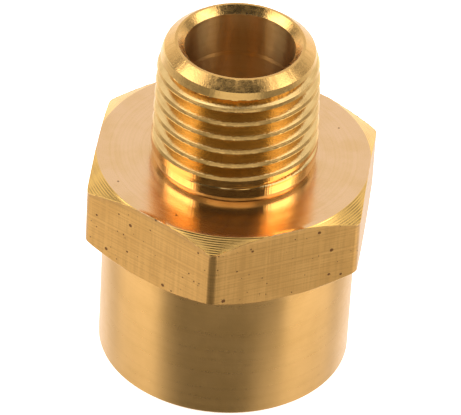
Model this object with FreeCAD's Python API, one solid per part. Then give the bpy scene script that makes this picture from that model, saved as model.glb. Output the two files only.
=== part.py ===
import FreeCAD, Part

import math
import os

# A brass reducing adapter for pipework: a hexagon for the spanner between a male
# taper thread (R 1/4) and a larger female parallel thread (G 3/8), with one
# passage right through. The real fitting is one piece of metal, turned from
# hexagon bar. It is drawn as three solids of that metal, which meet face to face
# at the hexagon's two shoulders: female_barrel, hex_collar and male_nipple.
#
# Millimetres. The origin is the centre of the female end face and +Z runs along
# the axis to the male end. The hexagon has two flats square to X, and two
# corners on the Y axis.

# ---- both threads -----------------------------------------------------------
thread_pitch = 1.337               # 19 turns to the inch
thread_depth_share = 0.6403        # depth of a 55 degree thread, in pitches
flank_angle = 27.5                 # from the plane square to the axis
root_width_share = 1.0 / 6.0       # flat at the bottom of the groove, in pitches
cutter_overrun = 0.18              # how far a thread cutter stands out of the metal

# ---- male nipple ------------------------------------------------------------
nipple_length = 11.1
male_gauge_diameter = 13.157       # major diameter at the gauge plane
male_gauge_length = 4.7            # from the tip to the gauge plane
taper_ratio = 1.0 / 16.0           # on the diameter
male_thread_length = 8.7           # full-depth turns, from the tip
male_run_out_turns = 0.75          # over which the groove fades out
male_thread_angle = 317.0          # where the groove crosses the tip's plane
shank_length = 1.3                 # plain band next to the hexagon
shank_depth = 0.13                 # below the thread's crests
neck_length = 0.5                  # undercut at the foot of the shank
neck_depth = 0.17                  # below the shank, at the hexagon's face
rim_width = 0.2                    # flat ring between the two tip chamfers
tip_chamfer_height = 0.7           # chamfer outside the rim
tip_chamfer_width = 0.85
lead_in_angle = 17.0               # from the axis, below the tip chamfer

# ---- hexagon ----------------------------------------------------------------
hex_across_flats = 22.0
hex_height = 6.6
hex_corner_radius = 0.9            # rounding left by drawing the bar
hex_face_margin = 0.07             # the face chamfers begin this far outside the flats
hex_chamfer_angle = 30.0

# ---- female barrel ----------------------------------------------------------
barrel_length = 12.5
barrel_wall = 1.97                 # outside the thread's major diameter
barrel_edge_chamfer = 0.4
female_major_diameter = 16.662
female_thread_length = 10.5        # full-depth turns, from the mouth
female_run_out_turns = 0.5
female_thread_angle = 17.0         # where the groove crosses the end face's plane
female_mouth_overrun = 0.27        # mouth countersink, beyond the thread's major radius
pilot_depth = 13.8                 # plain drilled wall, from the mouth
pilot_wall_arcs = 8                # the drilled wall is drawn in this many equal arcs
drill_point_angle = 118.0

# ---- passage through the nipple ---------------------------------------------
bore_diameter = 8.7
mouth_bore_step = 0.07             # opened out by this much from the male end, on the radius
mouth_bore_depth = 4.2
mouth_countersink = 0.57           # 45 degrees, at the male end

# ---- worked out from the above ----------------------------------------------
thread_depth = thread_depth_share * thread_pitch
female_major_radius = female_major_diameter / 2.0
pilot_radius = female_major_radius - thread_depth
barrel_radius = female_major_radius + barrel_wall
bore_radius = bore_diameter / 2.0
mouth_bore_radius = bore_radius + mouth_bore_step
hex_bottom = barrel_length
hex_top = hex_bottom + hex_height
tip = hex_top + nipple_length
taper_angle = math.degrees(math.atan(taper_ratio / 2.0))

ORIGIN = FreeCAD.Vector(0, 0, 0)
X_AXIS = FreeCAD.Vector(1, 0, 0)
Z_AXIS = FreeCAD.Vector(0, 0, 1)


def wire_through(points):
    """A closed outline in the XZ half plane through (radius, height) points."""
    corners = [FreeCAD.Vector(radius, 0, height) for radius, height in points]
    return Part.makePolygon(corners + corners[:1])


def revolved(points):
    """A solid of revolution about Z."""
    return Part.Face(wire_through(points)).revolve(ORIGIN, Z_AXIS, 360)


def cut_away(metal, tools):
    """The metal with each tool's shape taken out in turn."""
    for tool in tools:
        metal = metal.cut(tool)
    return metal


def drilled_in_arcs(radius, bottom, top):
    """A cylinder about Z whose wall is split into equal arcs."""
    def on_wall(step):
        angle = 2 * math.pi * step / pilot_wall_arcs
        return FreeCAD.Vector(radius * math.cos(angle), radius * math.sin(angle), bottom)

    arcs = []
    for step in range(pilot_wall_arcs):
        arcs.append(Part.Arc(on_wall(step), on_wall(step + 0.5), on_wall(step + 1)).toShape())
    return Part.Face(Part.Wire(arcs)).extrude(FreeCAD.Vector(0, 0, top - bottom))


def crest_radius(below_tip):
    """Radius of the male thread's crests, this far below the tip."""
    gauge_radius = male_gauge_diameter / 2.0
    return gauge_radius + (below_tip - male_gauge_length) * taper_ratio / 2.0


def groove_cutter(root_radius, outward, turns, cone_angle):
    """A helical cutter one thread groove wide, which starts at height 0, angle 0.

    root_radius is where the groove is deepest at its start. outward is +1 for a
    groove cut from outside the metal and -1 for one cut from inside. The groove
    follows a cone of cone_angle, which widens with height when that is positive.
    """
    reach = thread_depth + cutter_overrun
    root_half = root_width_share * thread_pitch / 2.0
    open_half = root_half + reach * math.tan(math.radians(flank_angle))
    section = wire_through([
        (root_radius, -root_half),
        (root_radius + outward * reach, -open_half),
        (root_radius + outward * reach, open_half),
        (root_radius, root_half),
    ])
    spine = Part.makeHelix(thread_pitch, turns * thread_pitch, root_radius, cone_angle)
    sweep = Part.BRepOffsetAPI.MakePipeShell(spine)
    sweep.setBiNormalMode(Z_AXIS)
    sweep.add(section)
    sweep.build()
    sweep.makeSolid()
    return sweep.shape()


def fading_angle(fade_turns):
    """Cone angle that takes a groove clear of the metal in this many turns."""
    return math.degrees(math.atan(1.1 * thread_depth / (fade_turns * thread_pitch)))


def male_thread_cutters():
    """The full-depth groove and its run-out, in place on the nipple.

    They are drawn tip down, because a helix on a cone widens as it climbs, and
    then turned over, which leaves the thread right-handed.
    """
    start_radius = crest_radius(-thread_pitch) - thread_depth
    turns = male_thread_length / thread_pitch + 1.0
    groove = groove_cutter(start_radius, 1, turns, taper_angle)
    end_radius = crest_radius(male_thread_length) - thread_depth
    run_out = groove_cutter(end_radius, 1, male_run_out_turns, fading_angle(male_run_out_turns))
    run_out.rotate(ORIGIN, Z_AXIS, 360.0 * turns)
    run_out.translate(FreeCAD.Vector(0, 0, turns * thread_pitch))
    for cutter in (groove, run_out):
        cutter.translate(FreeCAD.Vector(0, 0, -thread_pitch))
        cutter.rotate(ORIGIN, X_AXIS, 180)
        cutter.rotate(ORIGIN, Z_AXIS, male_thread_angle)
        cutter.translate(FreeCAD.Vector(0, 0, tip))
    return [groove, run_out]


def female_thread_cutters():
    """The full-depth groove and its run-out, in place in the socket."""
    turns = female_thread_length / thread_pitch + 1.0
    groove = groove_cutter(female_major_radius, -1, turns, 0)
    run_out = groove_cutter(
        female_major_radius, -1, female_run_out_turns, -fading_angle(female_run_out_turns))
    run_out.rotate(ORIGIN, Z_AXIS, 360.0 * turns)
    run_out.translate(FreeCAD.Vector(0, 0, turns * thread_pitch))
    for cutter in (groove, run_out):
        cutter.rotate(ORIGIN, Z_AXIS, female_thread_angle)
        cutter.translate(FreeCAD.Vector(0, 0, -thread_pitch))
    return [groove, run_out]


def passage():
    """The whole way through: turned mouth, drilled pilot, drill point and bore."""
    beyond = thread_pitch              # the tools start outside the metal
    mouth_radius = female_major_radius + female_mouth_overrun
    mouth_depth = mouth_radius - pilot_radius
    point_height = (pilot_radius - bore_radius) / math.tan(math.radians(drill_point_angle / 2.0))
    turned = revolved([
        (0, -beyond),
        (mouth_radius + beyond, -beyond),
        (pilot_radius, mouth_depth),
        (bore_radius, mouth_depth),
        (bore_radius, pilot_depth),
        (pilot_radius, pilot_depth),
        (bore_radius, pilot_depth + point_height),
        (bore_radius, tip - mouth_bore_depth),
        (mouth_bore_radius, tip - mouth_bore_depth),
        (mouth_bore_radius, tip - mouth_countersink),
        (mouth_bore_radius + mouth_countersink + beyond, tip + beyond),
        (0, tip + beyond),
    ])
    return [turned, drilled_in_arcs(pilot_radius, mouth_depth, pilot_depth)]


def with_socket(metal):
    """The metal drilled and tapped from the female end, and bored right through."""
    tapping_hole = revolved([
        (0, -thread_pitch),
        (pilot_radius, -thread_pitch),
        (pilot_radius, pilot_depth),
        (0, pilot_depth),
    ])
    return cut_away(metal, [tapping_hole] + female_thread_cutters() + passage())


def female_barrel():
    """The round socket below the hexagon."""
    blank = revolved([
        (0, 0),
        (barrel_radius - barrel_edge_chamfer, 0),
        (barrel_radius, barrel_edge_chamfer),
        (barrel_radius, hex_bottom),
        (0, hex_bottom),
    ])
    return with_socket(blank)


def hex_collar():
    """The hexagon: drawn bar with rounded corners, chamfered on both faces."""
    corner_distance = hex_across_flats / math.sqrt(3.0)
    corners = []
    for step in range(7):
        angle = math.radians(30 + 60 * step)
        x = corner_distance * math.cos(angle)
        y = corner_distance * math.sin(angle)
        corners.append(FreeCAD.Vector(x, y, hex_bottom))
    bar = Part.Face(Part.makePolygon(corners)).extrude(FreeCAD.Vector(0, 0, hex_height))
    upright = [edge for edge in bar.Edges if abs(edge.tangentAt(edge.FirstParameter).z) > 0.99]
    bar = bar.makeFillet(hex_corner_radius, upright)

    face_radius = hex_across_flats / 2.0 + hex_face_margin
    slope = math.tan(math.radians(hex_chamfer_angle))
    reach = corner_distance - face_radius + 1.0
    turned = revolved([
        (0, hex_bottom),
        (face_radius, hex_bottom),
        (face_radius + reach, hex_bottom + reach * slope),
        (face_radius + reach, hex_top - reach * slope),
        (face_radius, hex_top),
        (0, hex_top),
    ])
    return with_socket(bar.common(turned))


def male_nipple():
    """The taper-threaded spigot above the hexagon."""
    shank_top = hex_top + shank_length
    shank_radius = crest_radius(nipple_length) - shank_depth
    blank = revolved([
        (0, hex_top),
        (shank_radius - neck_depth, hex_top),
        (shank_radius, hex_top + neck_length),
        (shank_radius, shank_top),
        (crest_radius(nipple_length - shank_length), shank_top),
        (crest_radius(0), tip),
        (0, tip),
    ])

    # the tip is turned inside two cones: a chamfer and a steeper lead-in below it
    rim_radius = mouth_bore_radius + mouth_countersink + rim_width
    lead_radius = rim_radius + tip_chamfer_width
    lead_run = nipple_length - tip_chamfer_height
    lead_foot = lead_radius + lead_run * math.tan(math.radians(lead_in_angle))
    turned_tip = revolved([
        (0, hex_top),
        (lead_foot, hex_top),
        (lead_radius, tip - tip_chamfer_height),
        (rim_radius, tip),
        (0, tip),
    ])
    threaded = cut_away(blank, male_thread_cutters())
    return cut_away(threaded.common(turned_tip), passage())


NODES = {
    "female_barrel": female_barrel,
    "hex_collar": hex_collar,
    "male_nipple": male_nipple,
}

os.makedirs("parts", exist_ok=True)
for name, build in NODES.items():
    shape = build()
    if not shape.isValid() or len(shape.Solids) != 1:
        raise RuntimeError(name + " is not one valid solid")
    shape.Solids[0].exportStep("parts/" + name + ".step")
    print(name, "volume", round(shape.Volume, 2), "faces", len(shape.Faces))
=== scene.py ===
import math
import random

import bmesh
import bpy
import numpy as np
from mathutils import Matrix, Vector


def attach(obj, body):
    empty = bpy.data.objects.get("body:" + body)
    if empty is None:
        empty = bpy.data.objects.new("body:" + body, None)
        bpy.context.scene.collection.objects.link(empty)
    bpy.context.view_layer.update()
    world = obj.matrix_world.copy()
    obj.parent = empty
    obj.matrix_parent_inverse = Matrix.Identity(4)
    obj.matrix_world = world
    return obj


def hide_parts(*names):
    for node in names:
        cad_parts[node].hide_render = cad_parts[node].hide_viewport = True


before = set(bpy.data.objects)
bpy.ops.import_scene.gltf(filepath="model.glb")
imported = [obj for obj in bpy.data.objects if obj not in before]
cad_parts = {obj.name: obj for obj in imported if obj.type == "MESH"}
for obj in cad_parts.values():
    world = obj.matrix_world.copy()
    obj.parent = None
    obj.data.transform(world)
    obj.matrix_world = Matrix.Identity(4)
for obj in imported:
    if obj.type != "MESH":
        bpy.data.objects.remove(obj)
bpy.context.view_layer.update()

# A brass reducing adapter. Lengths in this script are millimetres and become metres
# when a mesh is made. The axis is Z, with the female end face at z = 0.
MM = 0.001

# ---- sizes, as in the CAD model ---------------------------------------------
HEX_BOTTOM = 12.5
HEX_TOP = 19.1
TIP = 30.2
PITCH = 1.337
DEPTH = 0.6403 * PITCH
FLANK = math.tan(math.radians(27.5))

BARREL_R = 10.3
BARREL_EDGE = 0.4
SOCKET_MAJOR_R = 8.331
SOCKET_MINOR_R = SOCKET_MAJOR_R - DEPTH
SOCKET_THREAD_TOP = 10.5
SOCKET_MOUTH_R = 8.6
SOCKET_TOP = 13.8
DRILL_POINT = math.tan(math.radians(59))
SOCKET_FADE_TURNS = 0.5
SOCKET_GROOVE_AT = 0.063            # height of the groove's centre at angle 0

BORE_R = 4.35
MOUTH_BORE_R = 4.42
MOUTH_BORE_BOTTOM = TIP - 4.2
RIM_INNER_R = 4.99
RIM_OUTER_R = 5.19

HEX_INRADIUS = 11.0
HEX_CORNER_R = 0.9
HEX_FACE_R = 11.07
HEX_CHAMFER = math.tan(math.radians(30))
HEX_EDGE = 0.035                    # rounding of the hexagon's edges
HEX_CREASE = 0.014                  # dent where a flat meets a rounded corner
RING_HEIGHT = 0.008                 # the tool's rings on the chamfer
RING_SPACING = 0.17
RING_ROWS = 80

CREST_R_AT_TIP = 6.4316
TAPER = 1 / 32
TIP_CHAMFER_R = 6.04                # foot of the outer tip chamfer
TIP_CHAMFER_Z = TIP - 0.7
LEAD_IN = math.tan(math.radians(17))
CREST_WIDTH = 5 / 24                # in pitches, along the leaning crest
CREST_LEAN = 0.107                  # crests are this much lower at their upper edge
CREST_UPRIGHT = 0.2                 # share of the crest that stays upright, at its foot
ROLLED_EDGE = 0.19                  # first groove's upper side is rolled in, in pitches
HALF_ROOT = 1 / 12                  # half the flat at a groove's bottom, in pitches
HALF_GROOVE = 5 / 12                # half a groove's mouth, in pitches
CHATTER_MARKS = 300                 # marks of the chattering tool in one turn
FRONT_NICK = math.radians(-86)      # the nick in the rim
TORN_EDGE = math.radians(-85)       # the rolled edge is torn here
SHANK_R = 6.648
SHANK_TOP = HEX_TOP + 1.3
NECK_R = 6.478                      # undercut where the nipple meets the hexagon
NECK_TOP = HEX_TOP + 0.5
NIPPLE_GROOVE_AT = 27.686           # height of a groove's centre at angle 0
NIPPLE_GROOVE_END = HEX_TOP + 1.45  # where the last groove has faded out
NIPPLE_FADE_TURNS = 0.75

# ---- camera ----------------------------------
VIEW_AZIMUTH = math.radians(-84.716)     # direction from the object to the camera
VIEW_ELEVATION = math.radians(37.805)
VIEW_ROLL = math.radians(3.443)
VIEW_DISTANCE = 387.825
VIEW_TARGET = 13.486
LENS = 373.02


# ---- small numeric helpers ----------------------------------------------------
def wobble(values, seed, lowest, highest, count=24):
    """Repeatable smooth noise of an angle in radians, roughly within -1 to 1."""
    rng = random.Random(seed)
    total = np.zeros_like(values)
    for _ in range(count):
        waves = rng.randint(lowest, highest)
        total += np.sin(waves * values + rng.uniform(0, 2 * math.pi))
    return total / math.sqrt(count)


def eased(x):
    """0 below 0, 1 above 1, and a smooth step between."""
    x = np.clip(x, 0, 1)
    return x * x * (3 - 2 * x)


def rounded_profile(points, radius, steps=4):
    """A (radius, height) polyline with each inner corner turned into a small arc."""
    out = [points[0]]
    for before, here, after in zip(points, points[1:], points[2:]):
        here = Vector(here)
        to_before = Vector(before) - here
        to_after = Vector(after) - here
        cut = min(radius, to_before.length * 0.45, to_after.length * 0.45)
        start = here + to_before.normalized() * cut
        end = here + to_after.normalized() * cut
        for step in range(steps + 1):
            t = step / steps
            point = start * (1 - t) ** 2 + here * 2 * t * (1 - t) + end * t ** 2
            out.append(tuple(point))
    out.append(points[-1])
    return out


# ---- mesh building -------------------------------------------------------------
def skin(name, radius, height, angle, sharp=28):
    """A closed mesh from rows of (radius, height, angle), the last joined to the first.

    Each array is rows by columns. The last column lies on the first one, though its
    rows may be one thread pitch out of step, so the seam closes by merging. Edges that
    turn by more than the sharp angle, in degrees, are left unsmoothed.
    """
    x = radius * np.cos(angle) * MM
    y = radius * np.sin(angle) * MM
    points = np.stack([x, y, height * MM], axis=-1)
    rows, columns = radius.shape
    index = np.arange(rows * columns).reshape(rows, columns)
    below = index[:, :-1]
    beside = index[:, 1:]
    quads = np.stack([
        below, beside, np.roll(beside, -1, axis=0), np.roll(below, -1, axis=0)
    ], axis=-1).reshape(-1, 4)

    mesh = bpy.data.meshes.new(name)
    mesh.from_pydata(points.reshape(-1, 3).tolist(), [], quads.tolist())
    bm = bmesh.new()
    bm.from_mesh(mesh)
    bmesh.ops.remove_doubles(bm, verts=bm.verts, dist=0.0006 * MM)
    bmesh.ops.dissolve_degenerate(bm, edges=bm.edges, dist=0.0006 * MM)
    bmesh.ops.recalc_face_normals(bm, faces=bm.faces)
    for face in bm.faces:
        face.smooth = True
    bm.to_mesh(mesh)
    bm.free()
    mesh.validate()
    mesh.set_sharp_from_angle(angle=math.radians(sharp))
    piece = bpy.data.objects.new(name, mesh)
    bpy.context.scene.collection.objects.link(piece)
    return piece


def plain_rows(profile, angles):
    """Rows of a plain solid of revolution from (radius, height) points."""
    radius = np.array([[r] * len(angles) for r, _ in profile])
    height = np.array([[z] * len(angles) for _, z in profile])
    return radius, height


def helical_rows(bottom, top, groove_at, angles, per_pitch):
    """Heights of rows that climb with the thread, held between bottom and top."""
    first = math.floor((bottom - groove_at) / PITCH) - 2
    last = math.ceil((top - groove_at) / PITCH) + 2
    starts = groove_at + np.arange(first * per_pitch, last * per_pitch + 1) * PITCH / per_pitch
    height = starts[:, None] + PITCH * angles[None, :] / (2 * math.pi)
    return np.clip(height, bottom, top)


def groove_position(height, angle, groove_at):
    """How far each point is from the nearest groove's centre, in pitches, and that
    centre's height."""
    turns = (height - groove_at) / PITCH - angle / (2 * math.pi)
    nearest = np.floor(turns + 0.5 + 1e-6)
    centre = groove_at + PITCH * (nearest + angle / (2 * math.pi))
    return turns - nearest, centre


def groove_depth(offset, strength, rolled=0.0):
    """Depth of a 55 degree groove whose cutter is pulled out as strength drops to 0.
    The upper flank can be rolled in by some share of a pitch."""
    off_root = np.maximum(0, np.maximum(-offset, offset + rolled) - HALF_ROOT)
    return np.maximum(0, DEPTH * strength - off_root * PITCH / FLANK)


# ---- the three pieces -----------------------------------------------------------
def nipple_radius(height, angle):
    """Outside of the thread: tapered crests, grooves and the lead-in cone."""
    below_tip = TIP - height
    taper = CREST_R_AT_TIP + below_tip * TAPER
    offset, centre = groove_position(height, angle, NIPPLE_GROOVE_AT)
    strength = np.clip((centre - NIPPLE_GROOVE_END) / (NIPPLE_FADE_TURNS * PITCH), 0, 1)

    # crests lean outwards towards their lower edge, where a little metal is pushed up
    up_crest = np.mod(offset - HALF_GROOVE + 1e-6, 1) / CREST_WIDTH
    lean = CREST_LEAN * np.clip((up_crest - CREST_UPRIGHT) / (1 - CREST_UPRIGHT), 0.02, 1)
    lean = lean * (up_crest < 2.4) * strength
    off_edge = np.mod(offset - HALF_GROOVE + 0.5, 1) - 0.5
    lower_edge = np.exp(-(off_edge / 0.016) ** 2) * strength
    burr = 0.004 + 0.003 * wobble(angle, 3, 9, 60) + 0.002 * wobble(angle, 5, 100, 240)

    # the thin edge left where the lead-in cone meets the first groove is rolled over it
    torn = np.exp(-((angle - TORN_EDGE) / 0.06) ** 2)
    ragged = ROLLED_EDGE + (0.006 + 0.03 * torn) * wobble(angle, 6, 15, 90)
    rolled = ragged * eased((height - TIP + 1.7) / 0.3)
    groove = taper - groove_depth(offset, strength, rolled) + 0.006 * lower_edge

    # chatter marks of the tool, round the crests and the lead-in cone
    chatter = np.sin(CHATTER_MARKS * angle) * (0.5 + 0.5 * wobble(angle, 8, 3, 12))
    crest = taper - lean + np.maximum(0, burr) * lower_edge + 0.0012 * chatter
    radius = np.minimum(crest, groove)
    lead_in = TIP_CHAMFER_R + (TIP_CHAMFER_Z - height) * LEAD_IN
    return np.minimum(radius, lead_in + 0.003 * np.minimum(0, chatter))


def build_nipple():
    angles = np.linspace(-math.pi, math.pi, 1081)
    height = helical_rows(SHANK_TOP, TIP_CHAMFER_Z, NIPPLE_GROOVE_AT, angles, 24)
    radius = nipple_radius(height, np.broadcast_to(angles, height.shape))
    foot_radius, foot_height = plain_rows(rounded_profile([
        (BORE_R, HEX_TOP),
        (NECK_R, HEX_TOP),
        (SHANK_R, NECK_TOP),
        (SHANK_R, SHANK_TOP),
    ], 0.05), angles)
    top_radius, top_height = plain_rows(rounded_profile([
        (TIP_CHAMFER_R - 0.04, TIP_CHAMFER_Z + 0.033),
        (RIM_OUTER_R, TIP),
        (RIM_INNER_R, TIP),
        (MOUTH_BORE_R, TIP - (RIM_INNER_R - MOUTH_BORE_R)),
        (MOUTH_BORE_R, MOUTH_BORE_BOTTOM),
        (BORE_R, MOUTH_BORE_BOTTOM - 0.3),
        (BORE_R, HEX_TOP),
    ], 0.04), angles)

    # the rim is slightly uneven, with one nick at the front
    on_rim = np.exp(-((top_radius - RIM_OUTER_R) / 0.12) ** 2) * (top_height > TIP - 0.3)
    nick = np.exp(-((angles - FRONT_NICK) / 0.035) ** 2)
    uneven = 0.012 * wobble(angles, 9, 5, 60) - 0.07 * nick
    top_height = top_height + on_rim * np.minimum(0, uneven)
    radius = np.concatenate([foot_radius, radius, top_radius])
    height = np.concatenate([foot_height, height, top_height])
    return skin("nipple", radius, height, np.broadcast_to(angles, radius.shape), sharp=19)


def hexagon_radius(angle):
    """Distance from the axis to the side of the round-cornered hexagon. Two corners
    are on the Y axis."""
    from_corner = math.pi / 6 - np.abs(np.mod(angle, math.pi / 3) - math.pi / 6)
    arc_centre = (HEX_INRADIUS - HEX_CORNER_R) / math.cos(math.pi / 6)
    across = (HEX_INRADIUS - HEX_CORNER_R) * math.tan(math.pi / 6)
    flat_until = math.pi / 6 - math.atan2(across, HEX_INRADIUS)
    on_flat = HEX_INRADIUS / np.cos(math.pi / 6 - from_corner)
    inside = np.maximum(0, HEX_CORNER_R ** 2 - (arc_centre * np.sin(from_corner)) ** 2)
    on_arc = arc_centre * np.cos(from_corner) + np.sqrt(inside)
    crease = HEX_CREASE * np.exp(-((from_corner - flat_until) / math.radians(0.35)) ** 2)
    return np.where(from_corner > flat_until, on_flat, on_arc) - crease


def hexagon_angles():
    """Column angles, close together round each corner. Corners are at 30 + 60k degrees."""
    one = []
    for step in range(60):
        t = step / 60 * 2 - 1
        one.append(math.pi / 6 * (0.25 * t + 0.75 * t ** 3))
    corners = [math.pi / 6 + math.pi / 3 * k for k in range(6)]
    angles = sorted(corner + offset for corner in corners for offset in one)
    return np.array(angles + [angles[0] + 2 * math.pi])


def build_hexagon():
    angles = hexagon_angles()
    side = hexagon_radius(angles + math.pi / 6)
    edge = HEX_EDGE
    burr = 0.016 + 0.014 * np.abs(wobble(angles, 11, 30, 200))
    face_edge = np.minimum(HEX_FACE_R, side - edge)
    ones = np.ones_like(angles)
    rows = []

    def drop(radius):
        """How far the chamfer has come down from the face at this radius."""
        return np.maximum(0, radius - HEX_FACE_R) * HEX_CHAMFER

    def add(radius, height):
        rows.append((radius * ones, height * ones))

    # upper face, then its chamfer with the tool's coarse rings
    for radius in (BORE_R, 6.0, 6.6, 7.2, 8.0, 9.0, 10.0, 10.6):
        add(radius, HEX_TOP)
    for step in range(RING_ROWS + 1):
        t = step / RING_ROWS
        radius = face_edge + (side - edge - face_edge) * t
        ring = RING_HEIGHT * np.sin(2 * math.pi * (radius - HEX_FACE_R) / RING_SPACING)
        add(radius, HEX_TOP - drop(radius) + ring * (radius > HEX_FACE_R))
    # upper edge with its burr, side, lower edge
    add(side - edge * 0.3 + burr * 0.6, HEX_TOP - drop(side) - edge * 0.2 + burr)
    add(side + burr * 0.5, HEX_TOP - drop(side) - edge * 0.7)
    for step in range(13):
        t = step / 12
        top = HEX_TOP - drop(side) - edge * 1.6
        bottom = HEX_BOTTOM + drop(side) + edge
        add(side, top + (bottom - top) * t)
    for step in range(9):
        t = 1 - step / 8
        radius = face_edge + (side - edge - face_edge) * t
        add(radius, HEX_BOTTOM + drop(radius))
    # lower face, drilled socket end and bore
    for radius in (BARREL_R, 9.0, SOCKET_MINOR_R):
        add(radius, HEX_BOTTOM)
    point = (SOCKET_MINOR_R - BORE_R) / DRILL_POINT
    for radius, height in rounded_profile([
        (SOCKET_MINOR_R, HEX_BOTTOM + 0.01),
        (SOCKET_MINOR_R, SOCKET_TOP),
        (BORE_R, SOCKET_TOP + point),
        (BORE_R, HEX_TOP - 0.01),
    ], 0.05):
        add(radius, height)
    radius = np.array([row[0] for row in rows])
    height = np.array([row[1] for row in rows])
    return skin("hexagon", radius, height, np.broadcast_to(angles, radius.shape))


def socket_radius(height, angle):
    """Wall of the female socket: parallel thread, plain pilot and turned mouth."""
    offset, centre = groove_position(height, angle, SOCKET_GROOVE_AT)
    fade = SOCKET_FADE_TURNS * PITCH
    strength = np.clip((SOCKET_THREAD_TOP + fade - centre) / fade, 0, 1)
    radius = SOCKET_MINOR_R + groove_depth(offset, strength)
    return np.maximum(radius, SOCKET_MOUTH_R - height)


def build_barrel():
    angles = np.linspace(-math.pi, math.pi, 361)
    outside = rounded_profile([
        (SOCKET_MINOR_R, HEX_BOTTOM),
        (BARREL_R, HEX_BOTTOM),
        (BARREL_R, BARREL_EDGE),
        (BARREL_R - BARREL_EDGE, 0),
        (SOCKET_MOUTH_R, 0),
    ], 0.05)
    outer_radius, outer_height = plain_rows(outside[:-1], angles)
    height = helical_rows(0, HEX_BOTTOM, SOCKET_GROOVE_AT, angles, 20)
    radius = socket_radius(height, np.broadcast_to(angles, height.shape))
    radius = np.concatenate([outer_radius, radius])
    height = np.concatenate([outer_height, height])
    return skin("barrel", radius, height, np.broadcast_to(angles, radius.shape))


# ---- materials --------------------------------------------------------------------
ACROSS_THE_RINGS = 0.25             # reflections spread across the tool's rings, in turns

LIGHT_BRASS = (0.82, 0.53, 0.30, 1)
STRAW_BRASS = (0.74, 0.46, 0.20, 1)
GOLD_BRASS = (0.86, 0.59, 0.25, 1)
# darker copy of the thread brass for the thread's crests, lower flanks and lead-in cone: painted shade on the
# faces that don't face up
SHADED_CREST_BRASS = (0.78, 0.47, 0.15, 1)
TIP_BRASS = (0.70, 0.405, 0.13, 1)
BORE_BRASS = (0.68, 0.43, 0.17, 1)
CHAMFER_BRASS = (0.86, 0.52, 0.15, 1)
BARREL_BRASS = (0.71, 0.41, 0.14, 1)
BARREL_SHADE = (0.63, 0.355, 0.11, 1)
FLAT_BRASS = (0.68, 0.375, 0.114, 1)
FLAT_SHADE = (0.62, 0.335, 0.097, 1)
FLAT_LINES = (0.50, 0.27, 0.08, 1)
FLAT_PITS = (0.20, 0.09, 0.03, 1)
FACE_PITS = (0.22, 0.11, 0.04, 1)
DEEP_BRASS = (0.60, 0.36, 0.12, 1)


class Nodes:
    """A material's node tree, with short ways to add and join nodes."""

    def __init__(self, tree):
        self.tree = tree
        tree.nodes.clear()

    def new(self, kind, inputs=None, **settings):
        node = self.tree.nodes.new(kind)
        for name, value in settings.items():
            setattr(node, name, value)
        for name, value in (inputs or {}).items():
            self.set(node, name, value)
        return node

    def set(self, node, name, value):
        if hasattr(value, "is_output"):
            self.tree.links.new(value, node.inputs[name])
        else:
            node.inputs[name].default_value = value

    def math(self, operation, *values):
        node = self.new("ShaderNodeMath", operation=operation)
        for place, value in enumerate(values):
            self.set(node, place, value)
        return node.outputs[0]

    def ramp(self, value, low, high, out_low=0.0, out_high=1.0):
        node = self.new("ShaderNodeMapRange", {
            "Value": value, "From Min": low, "From Max": high,
            "To Min": out_low, "To Max": out_high,
        }, interpolation_type="SMOOTHSTEP")
        return node.outputs["Result"]

    def mix(self, factor, first, second):
        node = self.new("ShaderNodeMix", data_type="RGBA")
        self.set(node, 0, factor)
        self.set(node, 6, first)
        self.set(node, 7, second)
        return node.outputs[2]

    def noise(self, scale, detail=2.0, vector=None, w=None, roughness=0.5):
        dimensions = "3D" if w is None else "1D"
        node = self.new("ShaderNodeTexNoise", noise_dimensions=dimensions)
        node.inputs["Scale"].default_value = scale
        node.inputs["Detail"].default_value = detail
        node.inputs["Roughness"].default_value = roughness
        if vector is not None:
            self.set(node, "Vector", vector)
        if w is not None:
            self.set(node, "W", w)
        return node.outputs["Fac"]


def millimetre_coordinates(nodes):
    """Object coordinates in millimetres, with the distance from the axis."""
    place = nodes.new("ShaderNodeTexCoord").outputs["Object"]
    scaled = nodes.new("ShaderNodeVectorMath", operation="SCALE")
    nodes.set(scaled, 0, place)
    scaled.inputs["Scale"].default_value = 1 / MM
    vector = scaled.outputs[0]
    parts = nodes.new("ShaderNodeSeparateXYZ", {"Vector": vector}).outputs
    radius = nodes.math("SQRT", nodes.math(
        "ADD", nodes.math("MULTIPLY", parts[0], parts[0]), nodes.math("MULTIPLY", parts[1], parts[1])))
    return vector, parts[2], radius


def finish_metal(nodes, color, roughness, height, bump, anisotropy):
    """The shader itself: bare brass with a bumped, directionally brushed surface."""
    normal = nodes.new("ShaderNodeBump", {"Height": height, "Strength": 1.0, "Distance": bump * MM})
    tangent = nodes.new("ShaderNodeTangent", direction_type="RADIAL", axis="Z")
    shader = nodes.new("ShaderNodeBsdfPrincipled", {
        "Base Color": color, "Roughness": roughness, "Metallic": 1.0,
        "Anisotropic": anisotropy, "Anisotropic Rotation": ACROSS_THE_RINGS,
        "Normal": normal.outputs[0], "Tangent": tangent.outputs[0],
    })
    output = nodes.new("ShaderNodeOutputMaterial")
    nodes.tree.links.new(shader.outputs[0], output.inputs[0])


def streaks(nodes, vector, scale):
    """Noise that runs straight up and down the surface, as chatter and draw lines do."""
    flattened = nodes.new("ShaderNodeVectorMath", operation="MULTIPLY")
    nodes.set(flattened, 0, vector)
    flattened.inputs[1].default_value = (1, 1, 0.03)
    return nodes.noise(scale, 2.0, vector=flattened.outputs[0])


def pits(nodes, vector, scale, size):
    """1 inside small round pits, scattered thinly and in various sizes."""
    cells = nodes.new("ShaderNodeTexVoronoi", {"Vector": vector, "Scale": scale, "Randomness": 1.0})
    pick = nodes.new("ShaderNodeSeparateColor", {"Color": cells.outputs["Color"]}).outputs
    reach = nodes.math("MULTIPLY", nodes.math("SUBTRACT", pick[0], 0.2), size * scale * 1.5)
    inside = nodes.math("SUBTRACT", reach, cells.outputs["Distance"])
    return nodes.ramp(inside, 0.0, 0.02 * scale)


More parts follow.
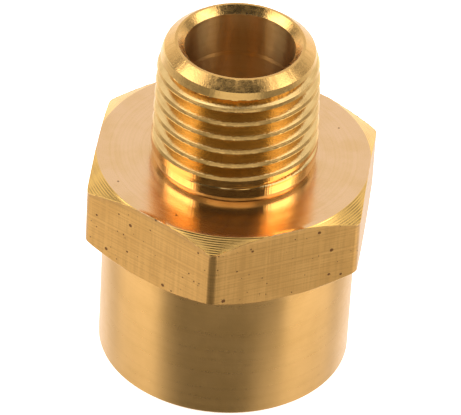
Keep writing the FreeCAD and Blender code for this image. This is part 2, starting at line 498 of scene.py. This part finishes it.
def turned_brass(name, light, dark, roughness, line_bump, anisotropy, mottle=0.5, chatter=0.0,
                 rough_patches=0.05, pitted=0.0):
    """Brass left by a lathe tool: fine rings round the axis, slight tarnish in patches."""
    material = bpy.data.materials.new(name)
    material.use_nodes = True
    nodes = Nodes(material.node_tree)
    vector, z, radius = millimetre_coordinates(nodes)
    along = nodes.math("ADD", nodes.math("MULTIPLY", radius, 1.3), nodes.math("MULTIPLY", z, 0.6))
    coarse = nodes.noise(3.0, 3.0, w=along)
    fine = nodes.noise(14.0, 2.0, w=along)
    lines = nodes.math("ADD", nodes.math("MULTIPLY", coarse, 0.6), nodes.math("MULTIPLY", fine, 0.4))
    patches = nodes.noise(0.35, 4.0, vector=vector, roughness=0.6)
    blotches = nodes.noise(2.2, 4.0, vector=vector, roughness=0.7)

    tarnish = nodes.ramp(patches, 0.38, 0.68)
    shade = nodes.math("MULTIPLY", tarnish, mottle)
    shade = nodes.math("ADD", shade, nodes.ramp(lines, 0.55, 0.40, 0.0, mottle * 0.5))
    color = nodes.mix(shade, light, dark)
    rough = nodes.math("ADD", roughness - 0.04, nodes.math("MULTIPLY", lines, 0.06))
    rough = nodes.math("ADD", rough, nodes.ramp(blotches, 0.4, 0.7, 0.0, rough_patches))
    height = nodes.math("ADD", lines, nodes.math("MULTIPLY", blotches, rough_patches * 4))
    if chatter:
        marks = streaks(nodes, vector, 7.0)
        height = nodes.math("ADD", height, nodes.math("MULTIPLY", marks, chatter))
    if pitted:
        pit = pits(nodes, vector, 0.6, 0.11)
        color = nodes.mix(nodes.math("MULTIPLY", pit, pitted), color, FACE_PITS)
    finish_metal(nodes, color, rough, height, line_bump, anisotropy)
    return material


def assign(piece, chooser, materials):
    """Give each face of a piece the material that chooser picks for it."""
    for material in materials:
        piece.data.materials.append(material)
    for face in piece.data.polygons:
        face.material_index = chooser(face.center / MM, face.normal)


def drawn_brass():
    """The hexagon's flats: satin, faint lines both ways, and small pits."""
    material = bpy.data.materials.new("drawn_brass")
    material.use_nodes = True
    nodes = Nodes(material.node_tree)
    vector, z, _ = millimetre_coordinates(nodes)
    level = nodes.noise(4.5, 3.0, w=z)
    upright = streaks(nodes, vector, 4.0)
    lines = nodes.math("ADD", nodes.math("MULTIPLY", level, 0.55), nodes.math("MULTIPLY", upright, 0.45))
    patches = nodes.noise(0.5, 3.0, vector=vector)
    pit = nodes.math("MAXIMUM", pits(nodes, vector, 1.0, 0.15), pits(nodes, vector, 2.1, 0.07))
    color = nodes.mix(nodes.ramp(patches, 0.35, 0.7), FLAT_BRASS, FLAT_SHADE)
    color = nodes.mix(nodes.ramp(lines, 0.56, 0.40, 0.0, 0.6), color, FLAT_LINES)
    color = nodes.mix(pit, color, FLAT_PITS)
    rough = nodes.math("ADD", 0.28, nodes.math("MULTIPLY", lines, 0.14))
    height = nodes.math("SUBTRACT", lines, nodes.math("MULTIPLY", pit, 3.0))
    finish_metal(nodes, color, rough, height, 0.016, 0.0)
    return material


# ---- surroundings -----------------------------------------------------------------
def studio_world():
    """A white room round the object, with dark places overhead, behind the camera and low
    in front. Angles are in degrees, from the front and from the horizon."""
    world = bpy.data.worlds.new("studio")
    bpy.context.scene.world = world
    world.use_nodes = True
    nodes = Nodes(world.node_tree)
    direction = nodes.new("ShaderNodeTexCoord").outputs["Generated"]

    def along(vector):
        node = nodes.new("ShaderNodeVectorMath", operation="DOT_PRODUCT")
        nodes.set(node, 0, direction)
        node.inputs[1].default_value = vector
        return node.outputs["Value"]

    front = along((math.cos(VIEW_AZIMUTH), math.sin(VIEW_AZIMUTH), 0))
    right = along((-math.sin(VIEW_AZIMUTH), math.cos(VIEW_AZIMUTH), 0))
    up = along((0, 0, 1))
    around = nodes.math("MULTIPLY", nodes.math("ARCTAN2", right, front), 180 / math.pi)
    rise = nodes.math("MULTIPLY", nodes.math("ARCSINE", up), 180 / math.pi)
    apart = nodes.math("ABSOLUTE", around)

    def window(value, low, high, soft):
        opening = nodes.ramp(value, low - soft, low + soft)
        closing = nodes.ramp(value, high - soft, high + soft, 1.0, 0.0)
        return nodes.math("MULTIPLY", opening, closing)

    def patch(side, low, high, soft, bottom, top, edge):
        return nodes.math("MULTIPLY", window(side, low, high, soft), window(rise, bottom, top, edge))

    def darken(level, where, to):
        keep = nodes.math("SUBTRACT", 1.0, nodes.math("MULTIPLY", where, 1.0 - to))
        return nodes.math("MULTIPLY", level, keep)

    # bright: a box at each side, the table below them, behind the object, high at the sides
    left_box = patch(around, -104, -54, 4, 18, 46, 3)
    right_box = patch(around, 52, 94, 4, 18, 46, 3)
    boxes = nodes.math("MULTIPLY", nodes.math("ADD", left_box, right_box), 2.4)
    table = nodes.math("MULTIPLY", patch(apart, 50, 104, 6, -32, -19, 2), 1.2)
    level = nodes.math("ADD", 1.0, nodes.math("ADD", boxes, table))
    back = nodes.math("MULTIPLY", patch(apart, 132, 400, 8, -400, 16, 6), 0.4)
    high_sides = nodes.math("MULTIPLY", patch(apart, 74, 128, 6, 50, 74, 4), 0.6)
    level = nodes.math("ADD", level, nodes.math("ADD", back, high_sides))
    # dark: high in front, overhead, gaps at the sides, and low in front
    level = darken(level, patch(around, -50, 50, 6, 18, 46, 3), 0.03)
    level = darken(level, patch(around, -62, 58, 10, 46, 72, 4), 0.03)
    level = darken(level, window(rise, 72, 84, 3), 0.9)
    level = darken(level, window(rise, 84, 400, 3), 0.2)
    level = darken(level, patch(apart, 99, 120, 3, 10, 26, 4), 0.3)
    level = darken(level, patch(apart, 108, 122, 4, 28, 48, 5), 0.4)
    level = darken(level, patch(apart, 30, 84, 8, -15, 14, 3), 0.3)
    level = darken(level, patch(apart, 84, 112, 7, -15, 14, 3), 0.5)
    level = darken(level, patch(apart, 88, 122, 6, -400, -33, 3), 0.87)
    level = darken(level, patch(around, -57, 54, 8, -33, -17, 3), 0.12)
    level = darken(level, patch(around, -52, 37, 18, -400, -33, 3), 0.2)
    background = nodes.new("ShaderNodeBackground", {"Color": (1, 0.985, 0.96, 1), "Strength": level})
    output = nodes.new("ShaderNodeOutputWorld")
    nodes.tree.links.new(background.outputs[0], output.inputs[0])


def pale_floor():
    """A plain white disc, turned up at its far edge and evenly bright. The brass doesn't
    mirror it, only the room."""
    mesh = bpy.data.meshes.new("floor")
    sides = 64
    reach = 4.0                     # metres, as is the height of the turned-up edge
    edge_height = 1.2
    turns = [2 * math.pi * step / sides for step in range(sides)]
    rings = [
        (reach * math.cos(turn), reach * math.sin(turn), z)
        for z in (0, edge_height) for turn in turns
    ]
    wall = [(k, (k + 1) % sides, (k + 1) % sides + sides, k + sides) for k in range(sides)]
    mesh.from_pydata(rings, [], [tuple(range(sides))] + wall)
    floor = bpy.data.objects.new("floor", mesh)
    bpy.context.scene.collection.objects.link(floor)
    floor.location.z = -0.00002
    floor.visible_glossy = False
    floor.visible_diffuse = False
    floor.visible_shadow = False
    material = bpy.data.materials.new("floor_white")
    material.use_nodes = True
    nodes = Nodes(material.node_tree)
    shader = nodes.new("ShaderNodeBsdfPrincipled", {
        "Base Color": (0.9, 0.9, 0.9, 1), "Roughness": 0.9,
        "Emission Color": (1, 1, 1, 1), "Emission Strength": 0.9,
    })
    output = nodes.new("ShaderNodeOutputMaterial")
    nodes.tree.links.new(shader.outputs[0], output.inputs[0])
    mesh.materials.append(material)


def studio_camera():
    camera = bpy.data.cameras.new("camera")
    camera.lens = LENS
    camera.sensor_width = 36
    camera.clip_start = 0.01
    camera.clip_end = 50
    holder = bpy.data.objects.new("camera", camera)
    bpy.context.scene.collection.objects.link(holder)
    flat = math.cos(VIEW_ELEVATION)
    towards = Vector((flat * math.cos(VIEW_AZIMUTH), flat * math.sin(VIEW_AZIMUTH), math.sin(VIEW_ELEVATION)))
    right = Vector((0, 0, 1)).cross(towards).normalized()
    up = towards.cross(right)
    rolled_right = right * math.cos(VIEW_ROLL) + up * math.sin(VIEW_ROLL)
    rolled_up = up * math.cos(VIEW_ROLL) - right * math.sin(VIEW_ROLL)
    place = (Vector((0, 0, VIEW_TARGET)) + towards * VIEW_DISTANCE) * MM
    axes = Matrix((rolled_right, rolled_up, towards)).transposed().to_4x4()
    holder.matrix_world = Matrix.Translation(place) @ axes
    bpy.context.scene.camera = holder


def soft_light(name, azimuth, elevation, size, power):
    """A large soft area light aimed at the object, well away from it."""
    light = bpy.data.lights.new(name, "AREA")
    light.shape = "DISK"
    light.size = size
    light.energy = power
    holder = bpy.data.objects.new(name, light)
    bpy.context.scene.collection.objects.link(holder)
    flat = math.cos(elevation)
    direction = Vector((flat * math.cos(azimuth), flat * math.sin(azimuth), math.sin(elevation)))
    holder.location = direction * 0.8
    holder.rotation_euler = direction.to_track_quat("Z", "Y").to_euler()


# ---- putting it together ------------------------------------------------------------
nipple = build_nipple()
hexagon = build_hexagon()
barrel = build_barrel()

# the crest brass is painted shade: a darker copy of the thread brass for the faces of the thread that don't
# face up
shaded_crest_metal = turned_brass("shaded_crest_brass", SHADED_CREST_BRASS, DEEP_BRASS, 0.2, 0.0016, 0.5, chatter=6.0)
thread_metal = turned_brass("thread_brass", GOLD_BRASS, DEEP_BRASS, 0.14, 0.0016, 0.5, chatter=6.0)
tip_metal = turned_brass("tip_brass", TIP_BRASS, DEEP_BRASS, 0.22, 0.005, 0.5,
                         rough_patches=0.14, chatter=2.0)
bore_metal = turned_brass("bore_brass", BORE_BRASS, DEEP_BRASS, 0.31, 0.003, 0.97, chatter=0.5)
face_metal = turned_brass("face_brass", LIGHT_BRASS, STRAW_BRASS, 0.15, 0.0010, 0.97, 0.5,
                          rough_patches=0.01, pitted=0.8)
chamfer_metal = turned_brass("chamfer_brass", CHAMFER_BRASS, DEEP_BRASS, 0.16, 0.0016, 0.6)
barrel_metal = turned_brass("barrel_brass", BARREL_BRASS, BARREL_SHADE, 0.29, 0.0025, 0.8)
flat_metal = drawn_brass()


def nipple_zone(place, normal):
    if math.hypot(place.x, place.y) < MOUTH_BORE_R + 0.02:
        return 2
    if place.z > TIP_CHAMFER_Z:
        return 1
    # faces of the thread that don't face up get the darker crest brass, as painted shade; the upward flanks
    # and the foot get the lighter thread brass
    return 3 if place.z > SHANK_TOP and normal.z < 0.6 else 0


def hexagon_zone(place, normal):
    if math.hypot(place.x, place.y) < SOCKET_MINOR_R + 0.1 and place.z < HEX_TOP - 0.05:
        return 2
    if abs(normal.z) < 0.2:
        return 1
    return 3 if math.hypot(place.x, place.y) > HEX_FACE_R else 0


def barrel_zone(place, normal):
    return 1 if math.hypot(place.x, place.y) < SOCKET_MOUTH_R + 0.05 else 0


assign(nipple, nipple_zone, [thread_metal, tip_metal, bore_metal, shaded_crest_metal])
assign(hexagon, hexagon_zone, [face_metal, flat_metal, bore_metal, chamfer_metal])
assign(barrel, barrel_zone, [barrel_metal, bore_metal])

for piece, node in ((nipple, "male_nipple"), (hexagon, "hex_collar"), (barrel, "female_barrel")):
    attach(piece, "root")
    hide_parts(node)

studio_world()
pale_floor()
studio_camera()
soft_light("left_light", VIEW_AZIMUTH - math.radians(75), math.radians(35), 0.5, 0.6)
soft_light("right_light", VIEW_AZIMUTH + math.radians(75), math.radians(35), 0.5, 0.6)
bpy.context.scene.view_settings.view_transform = "Standard"
